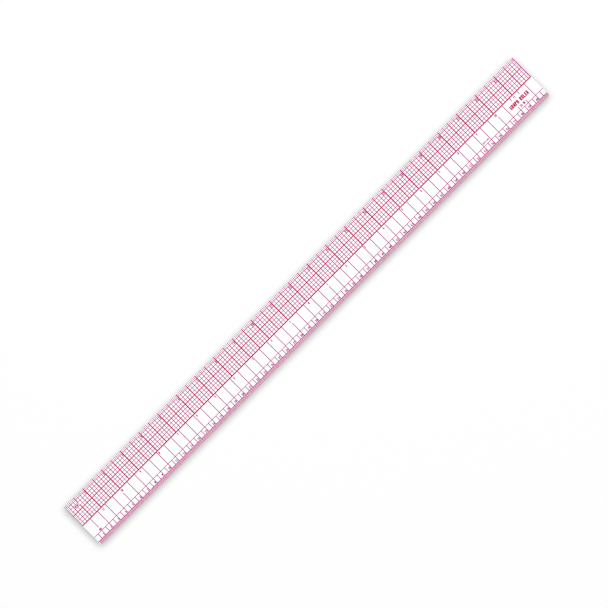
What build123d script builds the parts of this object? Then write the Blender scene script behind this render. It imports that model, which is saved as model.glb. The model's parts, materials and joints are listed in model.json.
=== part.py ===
from build123d import *
import os

# Clear laminated graph ruler, 24 in x 2 in. Two clear plastic sheets hold the print between them.
# +X runs along the scales towards the 24 in end, +Y towards the inch edge, +Z out of the face.
# The origin is at the middle of the underside. Millimetres.

# ---------------------------------------------------------------- driving dimensions
INCH = 25.4
LENGTH_INCHES = 24
LENGTH = LENGTH_INCHES * INCH
WIDTH = 2 * INCH
THICKNESS = 1.0
BASE_THICKNESS = 0.5
TOP_EDGE_RADIUS = 0.12

# The print is two thin films: lines across the ruler below, lines along it and lettering above.
INK_FILM = 0.04
CROSS_FILM_Z = BASE_THICKNESS
LONG_FILM_Z = CROSS_FILM_Z + INK_FILM
OVERLAY_Z = LONG_FILM_Z + INK_FILM
OVERLAY_THICKNESS = THICKNESS - OVERLAY_Z

# Inch half: a grid of eighths from the inch edge to the line along the middle.
GRID_INCHES = 1
GRID_DEPTH = GRID_INCHES * INCH
GRID_MIDDLE_Y = WIDTH / 2 - GRID_DEPTH / 2
GRID_CELL = INCH / 8
SIXTEENTH_LINE = 0.48
EIGHTH_LINE = 0.52
QUARTER_LINE = 0.68
HALF_LINE = 1.00
INCH_LINE = 1.16
EIGHTH_LONG_LINE = 0.45
QUARTER_LONG_LINE = 0.54
HALF_LONG_LINE = 0.90
MIDDLE_LONG_LINE = 1.10
ZERO_END_LINE = 0.39
FAR_END_LINE = 0.75
RUNG_LINE = 0.32

# Metric half: a box row and a millimetre band along the metric edge.
METRIC_EDGE_Y = -WIDTH / 2
BOX_ROW_Y = METRIC_EDGE_Y + 9.43
BAND_Y = METRIC_EDGE_Y + 3.60
LAST_MILLIMETRE = 609
CENTIMETRE_LINE = 0.66
METRIC_LONG_LINE = 0.54
BAND_LINE = 0.55
MILLIMETRE_LINE = 0.63

# Lettering heights and places.
NUMERAL_GAP = 0.10
INCH_NUMERAL_HEIGHT = 2.45
INCH_NUMERAL_INCHES = 0.185
CENTRING_NUMERAL_HEIGHT = 2.5
CENTRING_NUMERAL_Y = -2.7
CENTIMETRE_NUMERAL_HEIGHT = 2.6
CENTIMETRE_NUMERAL_Y = METRIC_EDGE_Y + 5.5
INCH_LABEL_HEIGHT = 1.9
INCH_LABEL_X = 9.9
INCH_LABEL_INCHES = 5 / 16
INCH_LABEL_CLEARANCE = 6.8
MILLIMETRE_LABEL_HEIGHT = 2.2
MILLIMETRE_LABEL_Y = -14.4

# Three short legends stand near the 24 in end of the metric half.
RULER_LEGEND_HEIGHT = 4.1
RULER_LEGEND_X = 585.5
RULER_LEGEND_Y = -8.1
LENGTH_LEGEND_HEIGHT = 2.5
LENGTH_LEGEND_X = 585.2
LENGTH_LEGEND_Y = -13.2
METRIC_LEGEND_HEIGHT = 1.35
METRIC_LEGEND_X = 535.0
METRIC_LEGEND_Y = -13.4

# Some centimetre lines are cut short, to stand clear of a centring numeral, the unit label or a legend.
NUMERAL_CLEAR_Y = -5.2
CLEARED_TOPS = (5, 28, 33, 56)
LABEL_CLEAR_Y = -12.1
LEGEND_TOP_Y = -4.0
LEGEND_BOTTOM_Y = -12.4
CLEARED_MIDDLES = (58, 59)

# ---------------------------------------------------------------- places on the scales


def inch_x(reading):
    """X of a reading on the inch scale."""
    return reading * INCH - LENGTH / 2


def metric_x(reading):
    """X of a reading on the millimetre scale."""
    return reading - LENGTH / 2


def grid_y(inches):
    """Y of a line this far in from the inch edge."""
    return WIDTH / 2 - inches * INCH


def across(readings):
    """Middles of the grid's cross lines at these inch readings."""
    return [(inch_x(reading), GRID_MIDDLE_Y) for reading in readings]


def span(x, low_y, high_y, line_width):
    """Draw one line across the ruler between two heights on the sheet."""
    with Locations((x, (low_y + high_y) / 2)):
        Rectangle(line_width, high_y - low_y)


# ---------------------------------------------------------------- lettering
# Each character is drawn by a pen on a cell 2 wide and 6 high. A stroke is a chain of points, and a
# third number makes the piece that ends there an arc, which stands that far off its chord, to the
# left of the way the pen moves.
PEN = 1.75
CELL_HEIGHT = 6 + PEN
CELL_WIDTH = 2
LETTER_SPACE = 2.2
HEAD = 6 + PEN / 2
FOOT = -PEN / 2
STEM = [(0, FOOT), (0, HEAD)]
BOWL = [(0, 6), (0.7, 6), (0.7, 3.4, 1.3), (0, 3.4)]


def ring(low, high, radius):
    """Closed stroke round the middle of the cell, straight up its sides between two heights."""
    left = CELL_WIDTH / 2 - radius
    right = CELL_WIDTH / 2 + radius
    return [(left, high), (right, high, radius), (right, low), (left, low, radius), (left, high)]


STROKES = {
    "0": [ring(1, 5, 1)],
    "1": [[(1.3, FOOT), (1.3, HEAD)], [(0, 5.3), (1.02, 6.19)]],
    "2": [[(0, 5), (2, 5, 1), (2, 4.2), (0.1, 0.2)], [(FOOT, 0), (2.8, 0)]],
    "3": [[(0, 5.9), (0.5, 3, 1.79)], [(0.5, 3), (0, 0.1, 1.79)]],
    "4": [[(0, HEAD), (0, 1.6), (2.8, 1.6)], [(2, FOOT), (2, 4.2)]],
    "5": [[(2.6, 6), (0, 6), (0, 3)], [(0, 3.37), (-0.28, 0.1, 2.15)]],
    "6": [ring(1, 2.6, 1), [(1.7, 6.4), (0, 2.6)]],
    "7": [[(FOOT, 6), (2.7, 6)], [(1.9, 6), (0.6, FOOT)]],
    "8": [ring(4.2, 5.05, 0.95), ring(1, 2.05, 1)],
    "9": [ring(3.4, 5, 1), [(0.3, -0.4), (2, 3.4)]],
    "A": [[(0, FOOT), (0, 5), (2, 5, 1), (2, FOOT)], [(0, 2.2), (2, 2.2)]],
    "C": [[(2, 4.6), (2, 5), (0, 5, -1), (0, 1), (2, 1, -1), (2, 1.4)]],
    "E": [[(2.6, 6), (0, 6), (0, 0), (2.6, 0)], [(0, 3), (2.3, 3)]],
    "G": [[(2, 4.6), (2, 5), (0, 5, -1), (0, 1), (2, 1, -1), (2, 3.4)], [(1.3, 2.6), (2.8, 2.6)]],
    "H": [STEM, [(2, FOOT), (2, HEAD)], [(0, 3), (2, 3)]],
    "I": [STEM],
    "L": [[(0, HEAD), (0, 0), (2.6, 0)]],
    "M": [STEM, [(3, FOOT), (3, HEAD)], [(0.08, 6.46), (1.5, 3.4), (2.92, 6.46)]],
    "N": [STEM, [(2.4, FOOT), (2.4, HEAD)], [(0.04, 6.55), (2.36, -0.55)]],
    "P": [STEM, BOWL],
    "R": [STEM, BOWL, [(0.9, 3.4), (2.1, -0.6)]],
    "S": [[(2, 5), (0, 5, -1), (0, 4.3), (2, 1.7), (2, 1), (0, 1, 1)]],
    "T": [[(-0.5, 6), (2.5, 6)], [(1, 6), (1, FOOT)]],
    "U": [[(0, HEAD), (0, 1), (2, 1, -1), (2, HEAD)]],
}
OTHER_WIDTHS = {"I": 0, "M": 3, "N": 2.4, " ": 1.6}


def character(strokes):
    """Face of one character, with its cell's lower left corner at the origin."""
    with BuildSketch() as face:
        for stroke in strokes:
            with BuildLine():
                for (start_x, start_y, *_), (end_x, end_y, *rise) in zip(stroke, stroke[1:]):
                    if rise:
                        SagittaArc((start_x, start_y), (end_x, end_y), rise[0])
                    else:
                        Line((start_x, start_y), (end_x, end_y))
            trace(line_width=PEN)
    return face.sketch


CHARACTERS = {symbol: character(strokes) for symbol, strokes in STROKES.items()}


def cell_width(symbol):
    """Width of a character's cell between its outer pen strokes' middles."""
    return OTHER_WIDTHS.get(symbol, CELL_WIDTH)


def lettering(text, x, y, height, anchor):
    """Print text on the current sketch, at height y, with its middle or its right end at x."""
    scale = height / CELL_HEIGHT
    cells_width = sum(cell_width(symbol) for symbol in text)
    text_width = (cells_width + LETTER_SPACE * (len(text) - 1) + PEN) * scale
    left = {"middle": x - text_width / 2, "right": x - text_width}[anchor]
    pen_x = left + PEN / 2 * scale
    pen_y = y - height / 2 + PEN / 2 * scale
    for symbol in text:
        if symbol != " ":
            with Locations((pen_x, pen_y)):
                add(CHARACTERS[symbol].scale(scale))
        pen_x += (cell_width(symbol) + LETTER_SPACE) * scale


# ---------------------------------------------------------------- the two sheets
with BuildPart() as base_sheet:
    with BuildSketch():
        Rectangle(LENGTH, WIDTH)
    extrude(amount=BASE_THICKNESS)
base_sheet.part.label = "base_sheet"

with BuildPart() as overlay_sheet:
    with BuildSketch(Plane.XY.offset(OVERLAY_Z)):
        Rectangle(LENGTH, WIDTH)
    extrude(amount=OVERLAY_THICKNESS)
    fillet(overlay_sheet.faces().sort_by(Axis.Z)[-1].edges(), TOP_EDGE_RADIUS)
overlay_sheet.part.label = "overlay_sheet"

# ---------------------------------------------------------------- inch grid, lines across the ruler
with BuildPart() as sixteenth_inch_ticks:
    with BuildSketch(Plane.XY.offset(CROSS_FILM_Z)):
        with GridLocations(INCH / 8, 0, 8 * LENGTH_INCHES, 1):
            with Locations((0, grid_y(1 / 16))):
                Rectangle(SIXTEENTH_LINE, GRID_CELL)
    extrude(amount=INK_FILM)
sixteenth_inch_ticks.part.label = "sixteenth_inch_ticks"

with BuildPart() as eighth_inch_cross_lines:
    with BuildSketch(Plane.XY.offset(CROSS_FILM_Z)):
        with Locations(across([eighth / 8 for eighth in range(1, 8 * LENGTH_INCHES, 2)])):
            Rectangle(EIGHTH_LINE, GRID_DEPTH)
        with Locations((metric_x(INCH_LABEL_X), grid_y(INCH_LABEL_INCHES))):
            Rectangle(INCH_LABEL_CLEARANCE, GRID_CELL, mode=Mode.SUBTRACT)
    extrude(amount=INK_FILM)
eighth_inch_cross_lines.part.label = "eighth_inch_cross_lines"

with BuildPart() as quarter_inch_cross_lines:
    with BuildSketch(Plane.XY.offset(CROSS_FILM_Z)):
        with Locations(across([quarter / 4 for quarter in range(1, 4 * LENGTH_INCHES, 2)])):
            Rectangle(QUARTER_LINE, GRID_DEPTH)
    extrude(amount=INK_FILM)
quarter_inch_cross_lines.part.label = "quarter_inch_cross_lines"

with BuildPart() as half_inch_cross_lines:
    with BuildSketch(Plane.XY.offset(CROSS_FILM_Z)):
        with Locations(across([half / 2 for half in range(1, 2 * LENGTH_INCHES, 2)])):
            Rectangle(HALF_LINE, GRID_DEPTH)
        with Locations((metric_x(INCH_LABEL_X), grid_y(INCH_LABEL_INCHES))):
            Rectangle(INCH_LABEL_CLEARANCE, GRID_CELL, mode=Mode.SUBTRACT)
    extrude(amount=INK_FILM)
half_inch_cross_lines.part.label = "half_inch_cross_lines"

with BuildPart() as inch_cross_lines:
    with BuildSketch(Plane.XY.offset(CROSS_FILM_Z)):
        with Locations(across(range(1, LENGTH_INCHES))):
            Rectangle(INCH_LINE, GRID_DEPTH)
    extrude(amount=INK_FILM)
inch_cross_lines.part.label = "inch_cross_lines"

with BuildPart() as zero_end_line:
    with BuildSketch(Plane.XY.offset(CROSS_FILM_Z)):
        span(-LENGTH / 2 + ZERO_END_LINE / 2, 0, WIDTH / 2, ZERO_END_LINE)
    extrude(amount=INK_FILM)
zero_end_line.part.label = "zero_end_line"

with BuildPart() as far_end_line:
    with BuildSketch(Plane.XY.offset(CROSS_FILM_Z)):
        span(LENGTH / 2 - FAR_END_LINE / 2, 0, WIDTH / 2, FAR_END_LINE)
    extrude(amount=INK_FILM)
far_end_line.part.label = "far_end_line"

# ---------------------------------------------------------------- inch grid, lines along the ruler
with BuildPart() as eighth_inch_long_lines:
    with BuildSketch(Plane.XY.offset(LONG_FILM_Z)):
        with Locations([(0, grid_y(eighth / 8)) for eighth in (1, 3, 5, 7)]):
            Rectangle(LENGTH, EIGHTH_LONG_LINE)
    extrude(amount=INK_FILM)
eighth_inch_long_lines.part.label = "eighth_inch_long_lines"

with BuildPart() as quarter_inch_long_lines:
    with BuildSketch(Plane.XY.offset(LONG_FILM_Z)):
        with Locations([(0, grid_y(quarter / 4)) for quarter in (1, 3)]):
            Rectangle(LENGTH, QUARTER_LONG_LINE)
    extrude(amount=INK_FILM)
quarter_inch_long_lines.part.label = "quarter_inch_long_lines"

with BuildPart() as half_inch_long_line:
    with BuildSketch(Plane.XY.offset(LONG_FILM_Z)):
        with Locations((0, grid_y(1 / 2))):
            Rectangle(LENGTH, HALF_LONG_LINE)
    extrude(amount=INK_FILM)
half_inch_long_line.part.label = "half_inch_long_line"

with BuildPart() as one_inch_long_line:
    with BuildSketch(Plane.XY.offset(LONG_FILM_Z)):
        with Locations((0, grid_y(GRID_INCHES))):
            Rectangle(LENGTH, MIDDLE_LONG_LINE)
    extrude(amount=INK_FILM)
one_inch_long_line.part.label = "one_inch_long_line"

# A rung halfway up each cell of the first and the last column.
with BuildPart() as zero_end_ladder:
    with BuildSketch(Plane.XY.offset(LONG_FILM_Z)):
        with Locations([(inch_x(1 / 16), grid_y(rung / 16)) for rung in range(1, 16, 2)]):
            Rectangle(GRID_CELL, RUNG_LINE)
    extrude(amount=INK_FILM)
zero_end_ladder.part.label = "zero_end_ladder"

with BuildPart() as far_end_ladder:
    with BuildSketch(Plane.XY.offset(LONG_FILM_Z)):
        with Locations([(-inch_x(1 / 16), grid_y(rung / 16)) for rung in range(1, 16, 2)]):
            Rectangle(GRID_CELL, RUNG_LINE)
    extrude(amount=INK_FILM)
far_end_ladder.part.label = "far_end_ladder"

# ---------------------------------------------------------------- metric half
with BuildPart() as centimetre_lines:
    with BuildSketch(Plane.XY.offset(CROSS_FILM_Z)):
        for centimetre in range(1, LAST_MILLIMETRE // 10 + 1):
            x = metric_x(10 * centimetre)
            foot_y = BAND_Y + BAND_LINE / 2
            if centimetre in CLEARED_TOPS:
                span(x, foot_y, NUMERAL_CLEAR_Y, CENTIMETRE_LINE)
            elif centimetre in CLEARED_MIDDLES:
                span(x, LEGEND_TOP_Y, 0, CENTIMETRE_LINE)
                span(x, foot_y, LEGEND_BOTTOM_Y, CENTIMETRE_LINE)
            elif centimetre == 1:
                span(x, LABEL_CLEAR_Y, 0, CENTIMETRE_LINE)
                span(x, foot_y, BOX_ROW_Y, CENTIMETRE_LINE)
            else:
                span(x, foot_y, 0, CENTIMETRE_LINE)
    extrude(amount=INK_FILM)
centimetre_lines.part.label = "centimetre_lines"

with BuildPart() as half_centimetre_lines:
    with BuildSketch(Plane.XY.offset(CROSS_FILM_Z)):
        for millimetre in range(5, LAST_MILLIMETRE, 10):
            span(metric_x(millimetre), BAND_Y + BAND_LINE / 2, BOX_ROW_Y, CENTIMETRE_LINE)
    extrude(amount=INK_FILM)
half_centimetre_lines.part.label = "half_centimetre_lines"

with BuildPart() as metric_long_line:
    with BuildSketch(Plane.XY.offset(LONG_FILM_Z)):
        with Locations((0, BOX_ROW_Y)):
            Rectangle(LENGTH, METRIC_LONG_LINE)
    extrude(amount=INK_FILM)
metric_long_line.part.label = "metric_long_line"

# The millimetre ticks hang from the band line like the teeth of a comb.
with BuildPart() as millimetre_scale:
    with BuildSketch(Plane.XY.offset(CROSS_FILM_Z)):
        with Locations((0, BAND_Y)):
            Rectangle(LENGTH, BAND_LINE)
        with Locations([
            (metric_x(millimetre), (METRIC_EDGE_Y + BAND_Y) / 2)
            for millimetre in range(1, LAST_MILLIMETRE + 1)
        ]):
            Rectangle(MILLIMETRE_LINE, BAND_Y - METRIC_EDGE_Y)
    extrude(amount=INK_FILM)
millimetre_scale.part.label = "millimetre_scale"

# ---------------------------------------------------------------- numerals
with BuildPart() as inch_numerals:
    with BuildSketch(Plane.XY.offset(LONG_FILM_Z)):
        for inch in range(1, LENGTH_INCHES):
            right_x = inch_x(inch) - INCH_LINE / 2 - NUMERAL_GAP
            lettering(str(inch), right_x, grid_y(INCH_NUMERAL_INCHES), INCH_NUMERAL_HEIGHT, "right")
    extrude(amount=INK_FILM)
inch_numerals.part.label = "inch_numerals"

# These count outwards from a zero at the ruler's middle, for finding centres.
with BuildPart() as centring_numerals:
    with BuildSketch(Plane.XY.offset(LONG_FILM_Z)):
        for inch in range(1, LENGTH_INCHES):
            distance = abs(inch - LENGTH_INCHES // 2)
            lettering(str(distance), inch_x(inch), CENTRING_NUMERAL_Y, CENTRING_NUMERAL_HEIGHT, "middle")
    extrude(amount=INK_FILM)
centring_numerals.part.label = "centring_numerals"

with BuildPart() as centimetre_numerals:
    with BuildSketch(Plane.XY.offset(LONG_FILM_Z)):
        for centimetre in range(1, LAST_MILLIMETRE // 10 + 1):
            right_x = metric_x(10 * centimetre) - CENTIMETRE_LINE / 2 - NUMERAL_GAP
            lettering(str(centimetre), right_x, CENTIMETRE_NUMERAL_Y, CENTIMETRE_NUMERAL_HEIGHT, "right")
    extrude(amount=INK_FILM)
centimetre_numerals.part.label = "centimetre_numerals"

# ---------------------------------------------------------------- unit labels and legends
with BuildPart() as inch_unit_label:
    with BuildSketch(Plane.XY.offset(LONG_FILM_Z)):
        lettering("INCHES", metric_x(INCH_LABEL_X), grid_y(INCH_LABEL_INCHES), INCH_LABEL_HEIGHT, "middle")
    extrude(amount=INK_FILM)
inch_unit_label.part.label = "inch_unit_label"

with BuildPart() as millimetre_unit_label:
    with BuildSketch(Plane.XY.offset(LONG_FILM_Z)):
        lettering("MM", metric_x(10), MILLIMETRE_LABEL_Y, MILLIMETRE_LABEL_HEIGHT, "middle")
    extrude(amount=INK_FILM)
millimetre_unit_label.part.label = "millimetre_unit_label"

with BuildPart() as ruler_legend:
    with BuildSketch(Plane.XY.offset(LONG_FILM_Z)):
        lettering("GRAPH RULER", metric_x(RULER_LEGEND_X), RULER_LEGEND_Y, RULER_LEGEND_HEIGHT, "middle")
    extrude(amount=INK_FILM)
ruler_legend.part.label = "ruler_legend"

with BuildPart() as length_legend:
    with BuildSketch(Plane.XY.offset(LONG_FILM_Z)):
        lettering("24 IN", metric_x(LENGTH_LEGEND_X), LENGTH_LEGEND_Y, LENGTH_LEGEND_HEIGHT, "middle")
    extrude(amount=INK_FILM)
length_legend.part.label = "length_legend"

with BuildPart() as metric_legend:
    with BuildSketch(Plane.XY.offset(LONG_FILM_Z)):
        lettering("METRIC SCALE", metric_x(METRIC_LEGEND_X), METRIC_LEGEND_Y, METRIC_LEGEND_HEIGHT, "middle")
    extrude(amount=INK_FILM)
metric_legend.part.label = "metric_legend"

# ---------------------------------------------------------------- one STEP file for each piece
os.makedirs("parts", exist_ok=True)
for piece in (
    base_sheet, overlay_sheet,
    sixteenth_inch_ticks, eighth_inch_cross_lines, quarter_inch_cross_lines, half_inch_cross_lines,
    inch_cross_lines, zero_end_line, far_end_line, eighth_inch_long_lines, quarter_inch_long_lines,
    half_inch_long_line, one_inch_long_line, zero_end_ladder, far_end_ladder,
    centimetre_lines, half_centimetre_lines, metric_long_line, millimetre_scale,
    inch_numerals, centring_numerals, centimetre_numerals,
    inch_unit_label, millimetre_unit_label, ruler_legend, length_legend, metric_legend,
):
    export_step(piece.part, f"parts/{piece.part.label}.step")
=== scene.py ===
import json
from math import radians, sin, cos

import bpy
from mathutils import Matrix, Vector


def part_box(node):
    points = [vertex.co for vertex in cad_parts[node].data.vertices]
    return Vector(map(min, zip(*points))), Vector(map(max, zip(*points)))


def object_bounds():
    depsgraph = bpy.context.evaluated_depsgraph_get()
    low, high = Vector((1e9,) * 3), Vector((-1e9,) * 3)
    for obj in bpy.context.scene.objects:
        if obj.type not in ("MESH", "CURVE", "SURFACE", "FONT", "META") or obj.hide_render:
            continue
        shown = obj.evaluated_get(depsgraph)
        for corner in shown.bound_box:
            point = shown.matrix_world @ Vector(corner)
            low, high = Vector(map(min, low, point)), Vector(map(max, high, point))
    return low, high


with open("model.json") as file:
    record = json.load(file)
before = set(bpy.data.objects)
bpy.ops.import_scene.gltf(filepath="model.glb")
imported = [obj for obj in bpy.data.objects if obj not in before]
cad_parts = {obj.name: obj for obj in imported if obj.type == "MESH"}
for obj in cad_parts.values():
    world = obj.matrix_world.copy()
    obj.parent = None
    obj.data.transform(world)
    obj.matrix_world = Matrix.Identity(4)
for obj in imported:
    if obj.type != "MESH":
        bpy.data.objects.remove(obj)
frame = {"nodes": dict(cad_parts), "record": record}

# Clear laminated graph ruler on a white floor, seen from straight above with its scales on the slant.
# Metres, in the part's own frame: +X to the 24 in end, +Y to the inch edge, +Z out of the printed face.

MM = 0.001
cad_low, cad_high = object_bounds()
scene = bpy.context.scene
scene.view_settings.view_transform = "Standard"
# The print is finer than a pixel in the main picture, so it is filtered narrowly, and the denoiser
# takes its guide as it is, because smoothing the guide first would wash the fine lines out.
scene.cycles.filter_width = 1.2
scene.cycles.denoising_prefilter = "NONE"

# ---------------------------------------------------------------- the picture's viewpoint
RULER_SLANT = radians(45.08)
PICTURE_WIDTH = 583.86 * MM
PICTURE_SHIFT_RIGHT = 2.61 * MM
PICTURE_SHIFT_UP = 2.75 * MM
LENS = 200.0
SENSOR = 36.0
CLIP_NEAR = 0.1
CLIP_FAR = 100

picture_right = Vector((cos(RULER_SLANT), -sin(RULER_SLANT), 0))
picture_up = Vector((sin(RULER_SLANT), cos(RULER_SLANT), 0))


def make_camera():
    """A long lens straight above the ruler, so that nothing is foreshortened."""
    data = bpy.data.cameras.new("camera")
    data.lens = LENS
    data.sensor_width = SENSOR
    camera = bpy.data.objects.new("camera", data)
    middle = (cad_low + cad_high) / 2
    height = PICTURE_WIDTH * LENS / SENSOR
    camera.location = (
        middle
        - picture_right * PICTURE_SHIFT_RIGHT
        - picture_up * PICTURE_SHIFT_UP
        + Vector((0, 0, height))
    )
    camera.rotation_euler = (0, 0, -RULER_SLANT)
    data.clip_start = CLIP_NEAR
    data.clip_end = CLIP_FAR
    scene.collection.objects.link(camera)
    scene.camera = camera


# ---------------------------------------------------------------- node helpers


class Nodes:
    """A material's node tree, with short calls for the nodes used here."""

    def __init__(self, name):
        self.material = bpy.data.materials.new(name)
        self.material.use_nodes = True
        self.tree = self.material.node_tree
        self.tree.nodes.clear()
        self.output = self.tree.nodes.new("ShaderNodeOutputMaterial")

    def add(self, kind, settings=None, **inputs):
        """One node. Inputs are values or other nodes' sockets, by name or by number as n0, n1."""
        node = self.tree.nodes.new(kind)
        for key, value in (settings or {}).items():
            setattr(node, key, value)
        for key, value in inputs.items():
            if key[0] == "n" and key[1:].isdigit():
                socket = node.inputs[int(key[1:])]
            else:
                socket = node.inputs[key.replace("_", " ")]
            if isinstance(value, bpy.types.NodeSocket):
                self.tree.links.new(value, socket)
            else:
                socket.default_value = value
        return node

    def maths(self, operation, first, second=0.0):
        """A Math node's result."""
        return self.add("ShaderNodeMath", {"operation": operation}, n0=first, n1=second).outputs[0]

    def ramp(self, value, low, high, to_low=0.0, to_high=1.0, kind="SMOOTHSTEP"):
        """A value run from one range to another, held at both ends."""
        node = self.add("ShaderNodeMapRange", {"interpolation_type": kind}, Value=value)
        node.inputs["From Min"].default_value = low
        node.inputs["From Max"].default_value = high
        node.inputs["To Min"].default_value = to_low
        node.inputs["To Max"].default_value = to_high
        return node.outputs["Result"]

    def place(self):
        """The point on the object, in metres."""
        return self.add("ShaderNodeTexCoord").outputs["Object"]

    def noise(self, scale, detail=3.0, roughness=0.5, stretch=(1, 1, 1)):
        """Noise over the object. Scale is in features per metre."""
        placed = self.add("ShaderNodeMapping", Vector=self.place(), Scale=stretch)
        return self.add(
            "ShaderNodeTexNoise",
            Vector=placed.outputs[0],
            Scale=scale,
            Detail=detail,
            Roughness=roughness,
        ).outputs["Fac"]

    def mix(self, factor, first, second):
        """Two colours mixed."""
        node = self.add("ShaderNodeMix", {"data_type": "RGBA"})
        for socket, value in ((node.inputs[0], factor), (node.inputs[6], first), (node.inputs[7], second)):
            if isinstance(value, bpy.types.NodeSocket):
                self.tree.links.new(value, socket)
            else:
                socket.default_value = value
        return node.outputs[2]

    def finish(self, shader):
        """Sends a shader to the surface and gives the material."""
        self.tree.links.new(shader, self.output.inputs["Surface"])
        return self.material


def linear(red, green, blue):
    """A display colour, 0 to 255, as a shader's linear colour."""
    channels = [value / 255 for value in (red, green, blue)]
    return tuple(c / 12.92 if c <= 0.04045 else ((c + 0.055) / 1.055) ** 2.4 for c in channels) + (1,)


# ---------------------------------------------------------------- clear plastic
BASE_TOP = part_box("base_sheet")[1].z
OVERLAY_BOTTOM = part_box("overlay_sheet")[0].z
SEAM_MARGIN = 0.01 * MM
GLOSS_FLAT_ON = 0.005
GLOSS_GRAZING = 0.95
EDGE_CLOUD_SHARE = 0.55


def clear_plastic():
    """Polished clear vinyl: see-through flat on, glossy at a slant, cloudy along its cut edges."""
    nodes = Nodes("clear_sheet")
    wave = nodes.noise(14, detail=1.0, stretch=(0.5, 1, 1))
    scratch = nodes.noise(900, detail=2.0, stretch=(0.03, 1, 1))
    smudge = nodes.ramp(nodes.noise(35, detail=5.0, roughness=0.6), 0.45, 0.75)
    waves = nodes.add("ShaderNodeBump", Height=wave, Strength=1.0, Distance=0.12 * MM)
    surface = nodes.add(
        "ShaderNodeBump", Height=scratch, Strength=0.2, Distance=0.002 * MM, Normal=waves.outputs[0]
    ).outputs[0]

    # Faces that are fused to the other sheet reflect nothing.
    height = nodes.add("ShaderNodeSeparateXYZ", Vector=nodes.place()).outputs["Z"]
    seam_middle = (BASE_TOP + OVERLAY_BOTTOM) / 2
    from_seam = nodes.maths("ABSOLUTE", nodes.maths("SUBTRACT", height, seam_middle))
    seam_half = (OVERLAY_BOTTOM - BASE_TOP) / 2
    outer = nodes.maths("GREATER_THAN", from_seam, seam_half + SEAM_MARGIN)

    facing = nodes.add("ShaderNodeLayerWeight", Blend=0.5).outputs["Facing"]
    grazing = nodes.maths("POWER", facing, 5.0)
    gloss = nodes.ramp(grazing, 0.0, 1.0, GLOSS_FLAT_ON, GLOSS_GRAZING, kind="LINEAR")
    gloss = nodes.maths("MULTIPLY", gloss, outer)

    tint = nodes.mix(smudge, (1, 1, 1, 1), linear(253, 254, 254))
    clear = nodes.add("ShaderNodeBsdfTransparent", Color=tint).outputs[0]
    roughness = nodes.ramp(smudge, 0.0, 1.0, 0.04, 0.16, kind="LINEAR")
    shine = nodes.add(
        "ShaderNodeBsdfAnisotropic", Roughness=roughness, Normal=surface, Color=(1, 1, 1, 1)
    ).outputs[0]
    face = nodes.add("ShaderNodeMixShader", n0=gloss, n1=clear, n2=shine).outputs[0]

    # The cut edges scatter light: a cloudy skin with fine cutting marks that run through the sheet.
    upright = nodes.add(
        "ShaderNodeSeparateXYZ", Vector=nodes.add("ShaderNodeNewGeometry").outputs["Normal"]
    ).outputs["Z"]
    side = nodes.ramp(nodes.maths("ABSOLUTE", upright), 0.35, 0.95, 1.0, 0.0)
    cut = nodes.noise(2500, detail=2.0, stretch=(1, 1, 0.08))
    cloud_colour = nodes.mix(cut, linear(196, 208, 214), linear(238, 243, 246))
    cut_relief = nodes.add("ShaderNodeBump", Height=cut, Strength=0.5, Distance=0.02 * MM).outputs[0]
    cloud = nodes.add("ShaderNodeBsdfDiffuse", Color=cloud_colour, Normal=cut_relief).outputs[0]
    glow = nodes.add("ShaderNodeBsdfTranslucent", Color=cloud_colour, Normal=cut_relief).outputs[0]
    skin = nodes.add("ShaderNodeMixShader", n0=0.5, n1=cloud, n2=glow).outputs[0]
    edge = nodes.add("ShaderNodeMixShader", n0=EDGE_CLOUD_SHARE, n1=face, n2=skin).outputs[0]
    return nodes.finish(nodes.add("ShaderNodeMixShader", n0=side, n1=face, n2=edge).outputs[0])


# ---------------------------------------------------------------- printing inks
def ink(name, thin_colour, full_colour):
    """Screen-printed ink sealed under the plastic, a little denser in some places than in others."""
    nodes = Nodes(name)
    flow = nodes.noise(220, detail=4.0, roughness=0.6)
    mesh = nodes.noise(5200, detail=1.0)
    density = nodes.maths("ADD", nodes.maths("MULTIPLY", flow, 0.7), nodes.maths("MULTIPLY", mesh, 0.3))
    colour = nodes.mix(nodes.ramp(density, 0.35, 0.62), thin_colour, full_colour)
    relief = nodes.add("ShaderNodeBump", Height=mesh, Strength=0.3, Distance=0.01 * MM).outputs[0]
    roughness = nodes.ramp(flow, 0.3, 0.7, 0.45, 0.65)
    shader = nodes.add("ShaderNodeBsdfPrincipled", Base_Color=colour, Roughness=roughness, Normal=relief)
    shader.inputs["Specular IOR Level"].default_value = 0.05
    return nodes.finish(shader.outputs[0])


# ---------------------------------------------------------------- the ruler
SLOT_MATERIALS = {
    "clear_sheet": clear_plastic(),
    "wine_ink": ink("wine_ink", linear(188, 22, 136), linear(172, 8, 118)),
    "crimson_ink": ink("crimson_ink", linear(200, 22, 101), linear(186, 8, 87)),
}


def dress_ruler():
    """Gives each CAD node the finish of its slot. Nodes cast no shadow of their own, because the
    floor's card carries the ruler's whole shadow."""
    for entry in frame["record"]["subparts"]:
        node = frame["nodes"][entry["node"]]
        node.data.materials.clear()
        node.data.materials.append(SLOT_MATERIALS[entry["material_slot"]])
        node.visible_shadow = False
        node.visible_diffuse = False


# ---------------------------------------------------------------- floor, with its soft drop shadow
# The shadow is the ruler's outline moved down the picture by the drop and reaching a little further at
# both ends. It fades across each edge, as far out as in, by the spread. Its depth is the share of
# display brightness that it takes away.
FLOOR_SIZE = 30.0
FLOOR_GAP = 0.02 * MM
CARD_DULL = 0.895
CARD_BRIGHT = 0.905
SHADOW_DROP = 2.08 * MM
SHADOW_SPREAD = 8.15 * MM
SHADOW_DEPTH = 0.318
SHADOW_END_REACH = 0.4 * MM
DISPLAY_GAMMA = 2.2


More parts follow.
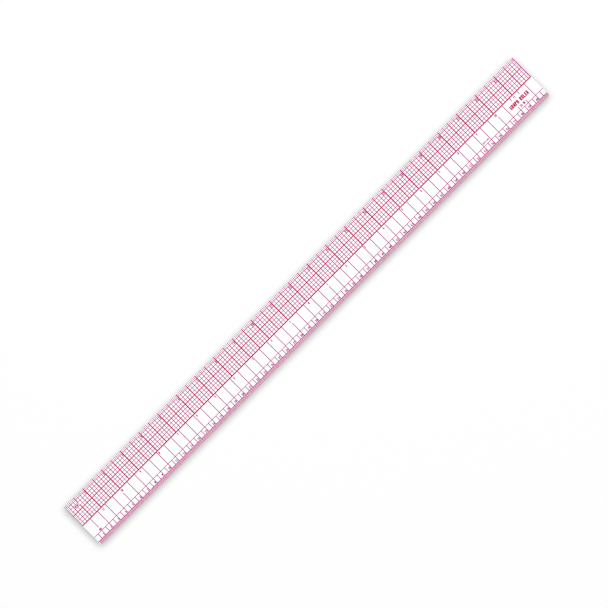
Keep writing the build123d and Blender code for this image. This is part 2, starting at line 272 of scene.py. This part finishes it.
def past_edges(nodes, place, middle, half):
    """How far a point of the floor lies past a rectangle's edges, along X and along Y."""
    parts = nodes.add("ShaderNodeSeparateXYZ", Vector=place)
    reach = []
    for axis, centre, size in zip("XY", middle, half):
        away = nodes.maths("ABSOLUTE", nodes.maths("SUBTRACT", parts.outputs[axis], centre))
        reach.append(nodes.maths("SUBTRACT", away, size))
    return reach


def make_floor():
    """A white card floor. Light passes through clear plastic, so the card itself carries the soft
    shadow that shows round the ruler and not through it."""
    nodes = Nodes("floor_card")
    place = nodes.place()
    half = ((cad_high.x - cad_low.x) / 2, (cad_high.y - cad_low.y) / 2)
    drop = -picture_up * SHADOW_DROP
    shaded_half = (half[0] + SHADOW_END_REACH, half[1])
    fades = [
        nodes.ramp(past, -SHADOW_SPREAD, SHADOW_SPREAD, 1.0, 0.0, kind="SMOOTHERSTEP")
        for past in past_edges(nodes, place, (drop.x, drop.y), shaded_half)
    ]
    beside = nodes.maths("MAXIMUM", *past_edges(nodes, place, (0, 0), half))
    clear_of_ruler = nodes.maths("GREATER_THAN", beside, 0.0)
    shadow = nodes.maths("MULTIPLY", nodes.maths("MULTIPLY", *fades), clear_of_ruler)
    display = nodes.maths("SUBTRACT", 1.0, nodes.maths("MULTIPLY", shadow, SHADOW_DEPTH))
    light = nodes.maths("POWER", display, DISPLAY_GAMMA)
    grain = nodes.noise(1800, detail=3.0)
    card = nodes.mix(grain, (CARD_DULL,) * 3 + (1,), (CARD_BRIGHT,) * 3 + (1,))
    colour = nodes.add("ShaderNodeVectorMath", {"operation": "SCALE"}, n0=card, Scale=light).outputs[0]
    relief = nodes.add("ShaderNodeBump", Height=grain, Strength=0.2, Distance=0.02 * MM).outputs[0]
    material = nodes.finish(
        nodes.add("ShaderNodeBsdfDiffuse", Color=colour, Normal=relief).outputs[0]
    )
    bpy.ops.mesh.primitive_plane_add(size=FLOOR_SIZE, location=(0, 0, cad_low.z - FLOOR_GAP))
    floor = bpy.context.object
    floor.name = "floor"
    floor.data.materials.append(material)


# ---------------------------------------------------------------- soft studio light
SOFTBOX_SIZE = 1.6
SOFTBOX_DISTANCE = 2.8
SOFTBOX_SLOPE = radians(50)
KEY_WATTS = 12.4
FILL_WATTS = 6.5
SIDE_WATTS = 5.1
WORLD_LIGHT = 0.85
WORLD_SHOWN = 1.0


def softbox(name, direction, watts):
    """A square soft light that leans over the ruler from one side of the picture."""
    data = bpy.data.lights.new(name, "AREA")
    data.shape = "SQUARE"
    data.size = SOFTBOX_SIZE
    data.energy = watts
    light = bpy.data.objects.new(name, data)
    offset = direction * cos(SOFTBOX_SLOPE) + Vector((0, 0, sin(SOFTBOX_SLOPE)))
    light.location = offset * SOFTBOX_DISTANCE
    light.rotation_euler = offset.to_track_quat("Z", "Y").to_euler()
    scene.collection.objects.link(light)


def make_world():
    """An even pale room, dimmer as a light than it looks."""
    world = bpy.data.worlds.new("room")
    world.use_nodes = True
    tree = world.node_tree
    tree.nodes.clear()
    seen = tree.nodes.new("ShaderNodeLightPath").outputs["Is Camera Ray"]
    strength = tree.nodes.new("ShaderNodeMapRange")
    strength.inputs["To Min"].default_value = WORLD_LIGHT
    strength.inputs["To Max"].default_value = WORLD_SHOWN
    tree.links.new(seen, strength.inputs["Value"])
    background = tree.nodes.new("ShaderNodeBackground")
    tree.links.new(strength.outputs["Result"], background.inputs["Strength"])
    background.inputs["Color"].default_value = (1, 1, 1, 1)
    output = tree.nodes.new("ShaderNodeOutputWorld")
    tree.links.new(background.outputs[0], output.inputs["Surface"])
    scene.world = world


make_camera()
dress_ruler()
make_floor()
make_world()
softbox("key", picture_up, KEY_WATTS)
softbox("fill", -picture_up, FILL_WATTS)
softbox("left", -picture_right, SIDE_WATTS)
softbox("right", picture_right, SIDE_WATTS)
